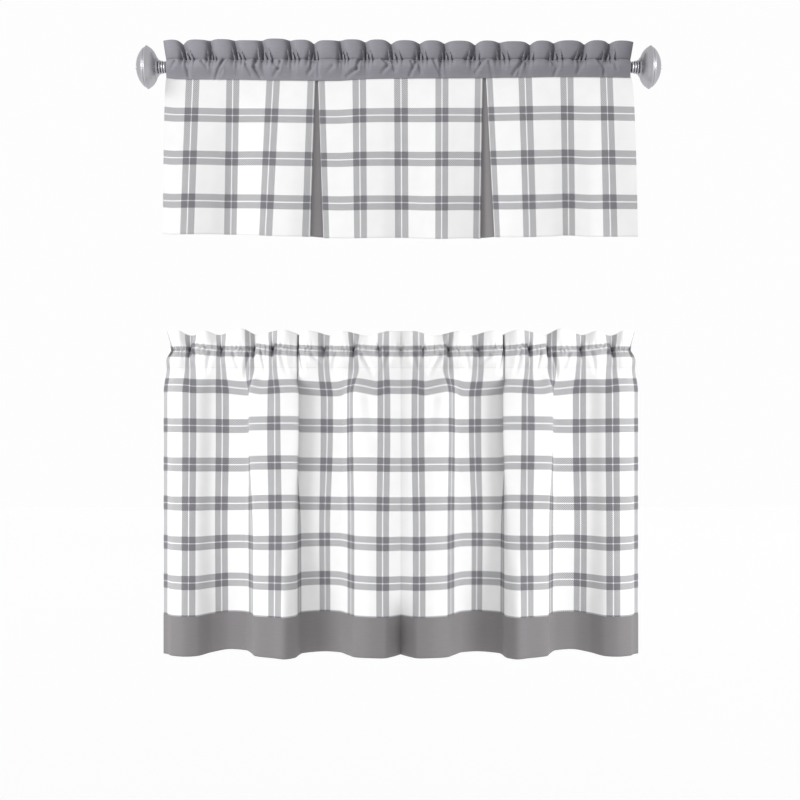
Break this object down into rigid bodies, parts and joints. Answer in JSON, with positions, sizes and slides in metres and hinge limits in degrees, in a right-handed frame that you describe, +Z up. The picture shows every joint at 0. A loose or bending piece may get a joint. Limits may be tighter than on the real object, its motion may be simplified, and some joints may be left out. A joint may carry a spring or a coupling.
{
  "type": "kitchen curtain set and valance rod",
  "caption": "Plaid kitchen curtain set: ruffled valance with inverted pleats on a metal rod with turned finials, above matching gathered tiers with grey borders and rod pockets.",
  "frame": {"origin": "middle of the valance rod's axis", "axes": "+X along the rod to the viewer's right, +Y toward the wall, +Z up; the cloth's face looks along -Y"},
  "size_m": [0.9902, 0.0806, 1.1583],
  "materials": {
    "nickel": "satin nickel plate",
    "grey_cloth": "plain grey woven cloth",
    "plaid_cloth": "white woven cloth with a grey double-stripe windowpane plaid"
  },
  "bodies": {
    "root": {"rod": "nickel", "collar_left": "nickel", "collar_right": "nickel", "finial_left": "nickel", "finial_right": "nickel", "valance_heading": "grey_cloth", "valance_panel_left": "plaid_cloth", "valance_panel_middle": "plaid_cloth", "valance_panel_right": "plaid_cloth", "pleat_inset_left": "grey_cloth", "pleat_inset_right": "grey_cloth", "tier_heading_left": "plaid_cloth", "tier_heading_right": "plaid_cloth", "tier_panel_left": "plaid_cloth", "tier_panel_right": "plaid_cloth", "tier_border_left": "grey_cloth", "tier_border_right": "grey_cloth"}
  },
  "joints": []
}
